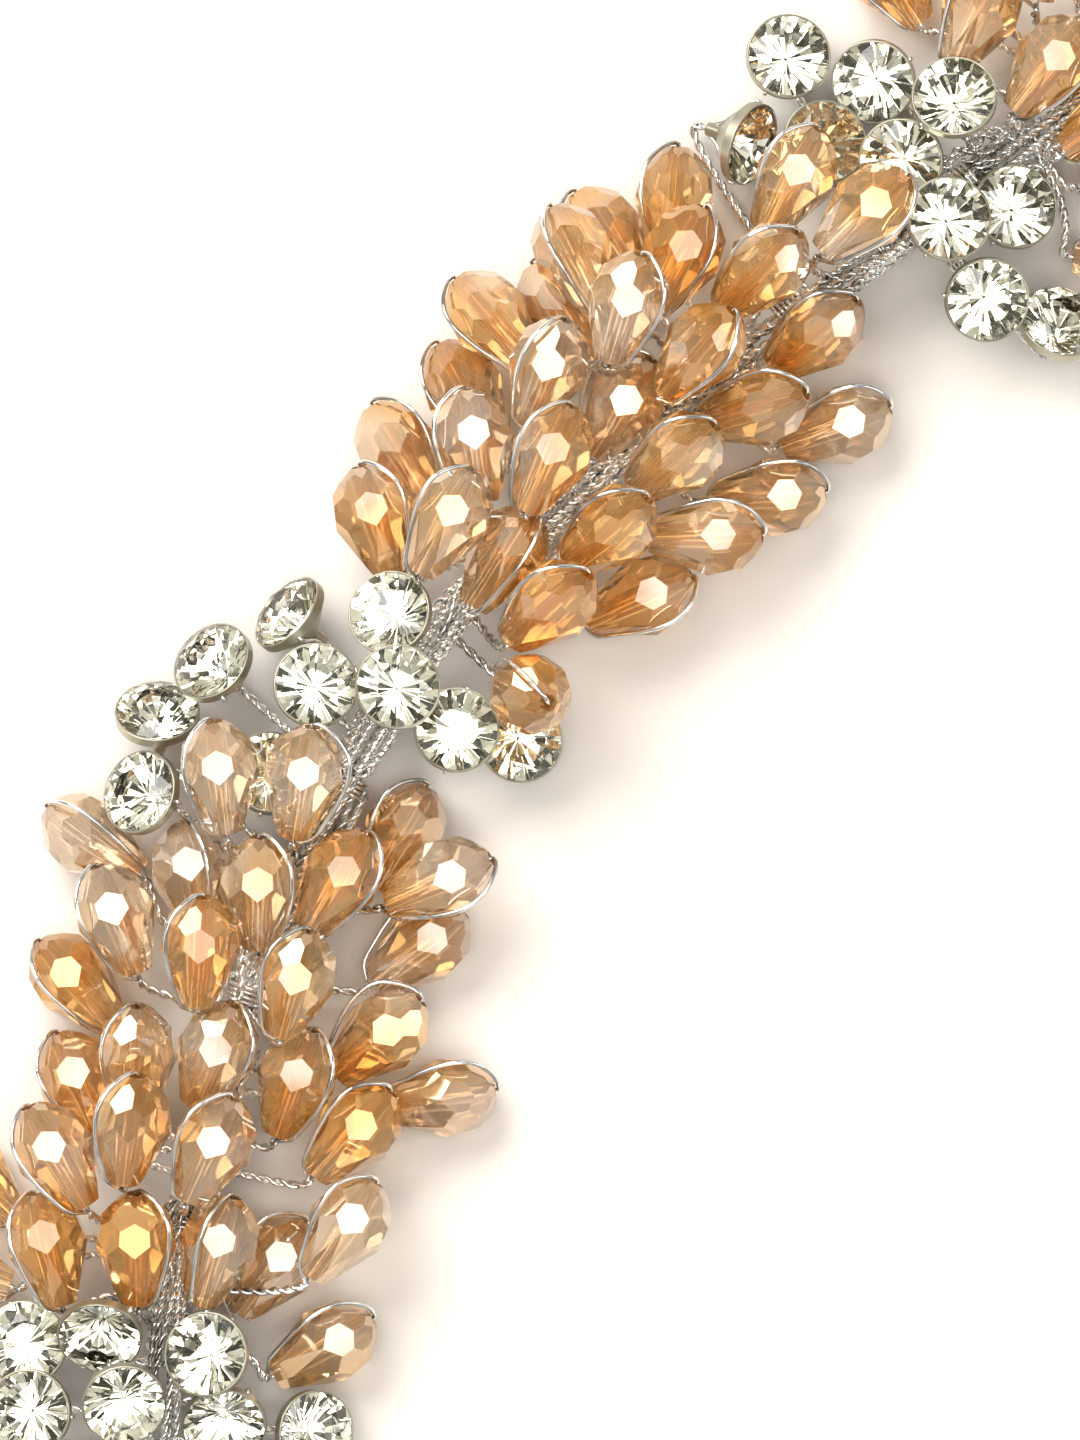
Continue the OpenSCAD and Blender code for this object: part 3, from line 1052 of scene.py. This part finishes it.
@dataclass
class Bundle:
    """The bundle: twisted pairs that wander along the vine, bound at places with plain wire.

    A swing is how far a pair turns round the bundle and the run of that wave, and the swell is the
    same for its distance from the middle. Sizes are in millimetres and angles in radians.
    """

    vine: Vine
    bench: WireBench
    silver: bpy.types.Material
    half_w: float = 0.98
    half_t: float = 0.6
    pairs: int = 5
    pair_step: float = 1.25
    core_turn: float = 0.3
    outer_turn: float = 0.95
    end_gap: float = 0.1
    outer_end: float = 5.5
    wander_seed: int = 11
    swings: tuple[Pair, ...] = ((0.9, 11), (0.35, 4.3))
    swell: Pair = (0.14, 6.5)
    loose: float = 1.35
    loose_from: float = 1
    loose_over: float = 2
    core_r: float = 0.48
    core_until: float = 4
    core_over: float = 5
    binding_at: tuple[float, ...] = (1.5, 17, 31, 45, 52, 61, 84, 97, 107, 123, 137.5)
    binding_run: float = 1.2
    binding_w: float = 1.36
    binding_t: float = 0.96
    wraps: int = 4
    wrap_steps: int = 12

    def strand(self, ends: Pair, turn: float, wander: random.Random, is_core: bool) -> np.ndarray:
        """Return the path of one twisted pair of the bundle.

        Args:
            ends: Where it starts and ends along the vine.
            turn: Angle of its mean place round the bundle.
            wander: Source of its wandering.
            is_core: Whether it draws in towards the sleeves at its ends.

        Returns:
            The points of its path.
        """
        phase = [wander.uniform(0, math.tau) for _ in range(3)]
        first, last = self.vine.ends()
        points = []
        for x in np.arange(ends[0], ends[1], self.pair_step):
            a = turn
            for (width, run), shift in zip(self.swings, phase):
                a = a + width * math.sin(x / run + shift)
            reach = 1 - self.swell[0] + self.swell[0] * math.sin(x / self.swell[1] + phase[2])
            if not is_core:
                near = min(abs(x - place) for place in self.binding_at)
                free = min(1, max(0, (near - self.loose_from) / self.loose_over))
                reach *= 1 + (self.loose - 1) * free
            w, t = self.half_w * reach, self.half_t * reach
            if is_core:
                near = min(x - first, last - x)
                free = min(1, max(0, (near - self.core_until) / self.core_over))
                w = self.core_r + (w - self.core_r) * free
                t = self.core_r + (t - self.core_r) * free
                a = turn + (a - turn) * free
            points.append(self.vine.bundle_point(x, w * math.cos(a), t * math.sin(a)))
        return smooth_path(points, 3)

    def binding(self, x: float) -> np.ndarray:
        """Return the path of the plain wire that binds the bundle at one place.

        Args:
            x: Place of the binding along the vine.

        Returns:
            The points of its path.
        """
        steps = self.wraps * self.wrap_steps
        points = []
        for i in range(steps + 1):
            a = math.tau * i / self.wrap_steps
            along = x - self.binding_run / 2 + self.binding_run * i / steps
            side, up = self.binding_w * math.cos(a), self.binding_t * math.sin(a)
            points.append(self.vine.bundle_point(along, side, up))
        return np.array(points)

    def build(self) -> list[bpy.types.Object]:
        """Lay the pairs that run into the sleeves, the outer ones and the bindings.

        Returns:
            The two pieces of the bundle.
        """
        wander = random.Random(self.wander_seed)
        first, last = self.vine.ends()
        first, last = first + self.end_gap, last - self.end_gap
        core, outer = bmesh.new(), bmesh.new()
        turns = [math.tau * k / self.pairs for k in range(self.pairs)]
        for turn in turns:
            path = self.strand((first, last), turn + self.core_turn, wander, True)
            self.bench.lay_wire(core, path)
        ends = (first + self.outer_end, last - self.outer_end)
        for turn in turns:
            self.bench.lay_wire(outer, self.strand(ends, turn + self.outer_turn, wander, False))
        for x in self.binding_at:
            self.bench.lay_wire(outer, self.binding(x), Lay.PLAIN)
        return [
            add_piece("bundle_core", core, [self.silver], ["wirework"]),
            add_piece("bundle_strands", outer, [self.silver], ["wirework"]),
        ]


class Ring(NamedTuple):
    """A ring of a cut stone's corners: shares of its height and half width, number and turn."""

    share: float
    radius: float
    corners: int
    turn: float


@dataclass
class CutStones:
    """The stones of one cluster, with a glass crown and a foiled back, and the rims round them.

    Sizes are in millimetres and angles in degrees.
    """

    vine: Vine
    cluster: Cluster
    glass: bpy.types.Material
    foil: bpy.types.Material
    metal: bpy.types.Material
    rings: tuple[Ring, ...] = (
        Ring(1.0, 0.60, 8, 0),
        Ring(0.925, 0.87, 8, 22.5),
        Ring(0.80, 1.11, 16, 0),
        Ring(0.765, 1.11, 16, 0),
        Ring(0.68, 0.99, 8, 22.5),
        Ring(0.27, 0.42, 8, 0),
        Ring(0.0, 0.04, 8, 22.5),
    )
    unevenness: float = 0.05
    uneven_below: float = 0.75
    flat_angle: float = 1
    foil_lean: float = -0.05
    rim_r: float = 2.54
    rim_z: float = 2.38
    rim_wire: float = 0.07
    rim_sides: int = 6
    rim_steps: int = 32

    def stand(self, seat: Seat) -> Matrix:
        """Return the place of a stone.

        Args:
            seat: Seat of the stone in its cluster.

        Returns:
            The matrix that brings a stone in millimetres, culet down, to its place in metres.
        """
        culet, way = self.vine.stone_pose(self.cluster.place, seat)
        turn = Vector((0, 0, 1)).rotation_difference(Vector(way)).to_matrix().to_4x4()
        return Matrix.Translation(self.vine.settle(culet)) @ turn @ Matrix.Diagonal((MM, MM, MM, 1))

    def cut(self, wander: random.Random) -> bpy.types.Mesh:
        """Return one stone: rings of corners drawn together into a closed cut form.

        Args:
            wander: Source of what makes no two stones quite alike.

        Returns:
            The stone in millimetres, culet down, with its glass and its foiled faces.
        """
        bm = bmesh.new()
        spin = wander.uniform(0, 360)
        for ring in self.rings:
            place = Matrix.Translation((0, 0, ring.share * self.vine.stone_h))
            turn = Matrix.Rotation(math.radians(ring.turn + spin), 4, "Z")
            radius = ring.radius * self.vine.stone_d / 2
            made = bmesh.ops.create_circle(
                bm, segments=ring.corners, radius=radius, matrix=place @ turn
            )
            if 0 < ring.share < self.uneven_below:
                for corner in made["verts"]:
                    corner.co.xy *= 1 - wander.uniform(0, self.unevenness)
                    corner.co.z += wander.uniform(0, self.unevenness) * self.vine.stone_h
        bmesh.ops.delete(bm, geom=bm.edges[:], context="EDGES_FACES")
        bmesh.ops.convex_hull(bm, input=bm.verts)
        flat = math.radians(self.flat_angle)
        bmesh.ops.dissolve_limit(bm, angle_limit=flat, verts=bm.verts, edges=bm.edges)
        bmesh.ops.recalc_face_normals(bm, faces=bm.faces)
        for face in bm.faces:
            face.material_index = int(face.normal.z < self.foil_lean)
        return to_mesh("cut_stone", bm)

    def rim(self) -> bpy.types.Mesh:
        """Return one rim: a small ring of wire spun round the girdle.

        Returns:
            The rim in millimetres, round a stone that stands culet down.
        """
        bm = bmesh.new()
        stand = Matrix.Rotation(math.pi / 2, 4, "X")
        place = Matrix.Translation((self.rim_r, 0, self.rim_z)) @ stand
        bmesh.ops.create_circle(bm, segments=self.rim_sides, radius=self.rim_wire, matrix=place)
        bmesh.ops.spin(
            bm,
            geom=bm.verts[:] + bm.edges[:],
            cent=(0, 0, 0),
            axis=(0, 0, 1),
            angle=math.tau,
            steps=self.rim_steps,
            use_merge=True,
        )
        bmesh.ops.remove_doubles(bm, verts=bm.verts, dist=WELD)
        bmesh.ops.recalc_face_normals(bm, faces=bm.faces)
        return to_mesh("rim", bm)

    def spread(self, make: Callable[[], bpy.types.Mesh]) -> bmesh.types.BMesh:
        """Return a mesh with one made piece at each stone's place.

        Args:
            make: Makes the piece of one stone.

        Returns:
            The pieces together, in metres.
        """
        bm = bmesh.new()
        for seat in self.cluster.seats():
            one = make()
            one.transform(self.stand(seat))
            bm.from_mesh(one)
            bpy.data.meshes.remove(one)
        return bm

    def build(self) -> list[bpy.types.Object]:
        """Make the cluster's stones and rims.

        Returns:
            The two pieces.
        """
        name = self.cluster.name
        wander = random.Random(name)
        cut, rims = self.spread(lambda: self.cut(wander)), self.spread(self.rim)
        finishes, nodes = [self.glass, self.foil], [f"{name}_stones"]
        return [
            add_piece(f"{name}_cut_stones", cut, finishes, nodes, smooth=False),
            add_piece(f"{name}_rims", rims, [self.metal]),
        ]


@dataclass
class Solids:
    """The CAD nodes that stay in the scene."""

    nodes: dict

    def dress(self, names: Iterable[str], finish: bpy.types.Material) -> None:
        """Give nodes their material.

        Args:
            names: Names of the nodes.
            finish: The material.
        """
        for name in names:
            materials = self.nodes[name].data.materials
            if not materials:
                materials.append(finish)
            for i in range(len(materials)):
                materials[i] = finish
            LOG.info("%s dressed in %s", name, finish.name)


@dataclass(frozen=True)
class Lamp:
    """A soft light: its place from the middle of the view, its size, power and colour.

    Its place and size are in metres and its power in watts.
    """

    name: str
    up: float
    right: float
    rise: float
    size: Pair
    watts: float
    colour: Triple

    def hang(self, target: Vector, up: Vector, right: Vector) -> None:
        """Hang the light so that it faces a point.

        Args:
            target: The point, from which the light's place is counted.
            up: Direction of the picture's top along the floor.
            right: Direction of the picture's right side.
        """
        place = target + self.up * up + self.right * right + self.rise * Vector((0, 0, 1))
        lamp = bpy.data.lights.new(self.name, "AREA")
        lamp.shape = "RECTANGLE"
        lamp.size, lamp.size_y = self.size
        lamp.energy, lamp.color = self.watts, self.colour
        hung = show(self.name, lamp)
        hung.location = place
        hung.rotation_euler = (place - target).to_track_quat("Z", "Y").to_euler()


@dataclass
class Studio:
    """A pale floor, soft lights, a sky of panels and the camera at the photograph's angle.

    Sizes are in metres where their names don't say otherwise, and angles in degrees.
    """

    look_at_mm: Triple = (-14.9, 1.9, 5)
    turn: float = -55
    lamps: tuple[Lamp, ...] = (
        Lamp("key", 0.30, -0.22, 0.42, (0.42, 0.34), 3.5, (1, 0.99, 0.97)),
        Lamp("strip", 0.05, 0.42, 0.30, (0.10, 0.34), 0.4, (1, 0.97, 0.93)),
        Lamp("top", -0.08, 0, 0.70, (0.40, 0.40), 1.9, (1, 1, 1)),
    )
    floor_half: float = 1.0
    floor_tints: Stops = ((0.3, (0.94, 0.872, 0.785, 1)), (0.7, (0.96, 0.895, 0.82, 1)))
    floor_patch_mm: float = 40
    floor_rough: float = 0.9
    floor_shine: float = 0.1
    sky: float = 1.0
    sky_tints: Stops = ((0, (0.08, 0.078, 0.075, 1)), (1, (1, 0.985, 0.965, 1)))
    panels: int = 5
    panel_shift: float = 4.0
    panel_edge: Pair = (-0.1, 0.5)
    high_edge: Pair = (0.2, 0.5)
    top_edge: Pair = (0.85, 0.97)
    low_band: float = 0.4
    dim_top: float = 0.5
    view_z: float = 0.006
    height: float = 0.6
    view_height_mm: float = 87.8
    sensor: float = 36
    clip: Pair = (0.05, 20)

    def lay_floor(self) -> None:
        """Lay the floor."""
        bm = bmesh.new()
        bmesh.ops.create_grid(bm, x_segments=1, y_segments=1, size=self.floor_half)
        mesh = to_mesh("floor", bm)
        shades = Shades.material("pale_floor")
        surface = {
            "Base Color": shades.ramp(shades.noise(self.floor_patch_mm, 2), self.floor_tints),
            "Roughness": self.floor_rough,
            "Specular IOR Level": self.floor_shine,
        }
        mesh.materials.append(shades.finish(surface))
        made = show("floor", mesh)

    def set_sky(self) -> None:
        """Set up the sky: upright bright panels over a dim low band, with a dimmer top."""
        world = bpy.data.worlds.new("studio")
        bpy.context.scene.world = world
        shades = Shades(world)
        way = shades.node("ShaderNodeTexCoord", output="Generated")
        rise = shades.node("ShaderNodeSeparateXYZ", inputs={"Vector": way}, output="Z")
        radial = {"gradient_type": "RADIAL"}
        bearing = shades.node("ShaderNodeTexGradient", radial, {"Vector": way}, "Fac")
        wave = (bearing * (math.tau * self.panels) + self.panel_shift).sine()
        high = rise.step(self.high_edge)
        lit = high * wave.step(self.panel_edge) * (1 - self.dim_top * rise.step(self.top_edge))
        dome = shades.ramp((1 - high) * self.low_band + lit, self.sky_tints)
        glow = shades.node("ShaderNodeBackground", inputs={"Color": dome, "Strength": self.sky})
        shades.close("ShaderNodeOutputWorld", glow)

    def set_camera(self, middle: Vector) -> None:
        """Set up the camera straight above the middle of the view.

        Args:
            middle: Middle of the view.
        """
        lens = bpy.data.cameras.new("camera")
        lens.sensor_fit, lens.sensor_height = "VERTICAL", self.sensor
        lens.lens = self.sensor * self.height / (self.view_height_mm * MM)
        lens.clip_start, lens.clip_end = self.clip
        camera = show("camera", lens)
        camera.location = (middle.x, middle.y, self.view_z + self.height)
        camera.rotation_euler = (0, 0, math.radians(self.turn))
        bpy.context.scene.camera = camera

    def set_light_paths(self) -> None:
        """Set how light is followed through the glass, and the plain view transform."""
        scene = bpy.context.scene
        scene.view_settings.view_transform = "Standard"
        scene.cycles.max_bounces = 14
        scene.cycles.transmission_bounces = 12
        scene.cycles.glossy_bounces = 6
        scene.cycles.caustics_refractive = True
        scene.cycles.caustics_reflective = False
        scene.cycles.sample_clamp_indirect = 6
        scene.cycles.blur_glossy = 0.3

    def build(self) -> None:
        """Set up the floor, the lights, the sky and the camera."""
        self.lay_floor()
        middle = Vector(self.look_at_mm) * MM
        right = Vector((math.cos(math.radians(self.turn)), math.sin(math.radians(self.turn)), 0))
        up = Vector((-right.y, right.x, 0))
        for lamp in self.lamps:
            lamp.hang(middle, up, right)
        self.set_sky()
        self.set_camera(middle)
        self.set_light_paths()
        LOG.info("studio: %d lights", len(self.lamps))


def main() -> None:
    """Build and dress the vine, and set the studio round it."""
    logging.basicConfig(level=logging.INFO, format="%(message)s")
    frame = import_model()
    vine = Vine()
    bench, crowd = WireBench(vine), Crowd(vine)
    silver, metal = SILVER.material(), SETTING_METAL.material()
    glass, foil = ClearGlass().material(), FOIL.material()
    Studio().build()
    solids = Solids(frame["nodes"])
    solids.dress(["lower_beads", "middle_beads", "upper_beads"], HoneyGlass().material())
    solids.dress(["lower_settings", "middle_settings", "upper_settings"], metal)
    solids.dress(["lower_eye", "upper_eye", "wirework"], silver)
    solids.dress(["lower_stones", "middle_stones", "upper_stones"], glass)
    Bundle(vine, bench, silver).build()
    for beads, stones in zip(vine.beads, vine.stones):
        Sprigs(vine, bench, crowd, beads, stones, silver).build()
        CutStones(vine, stones, glass, foil, metal).build()


if __name__ == "__main__":
    main()
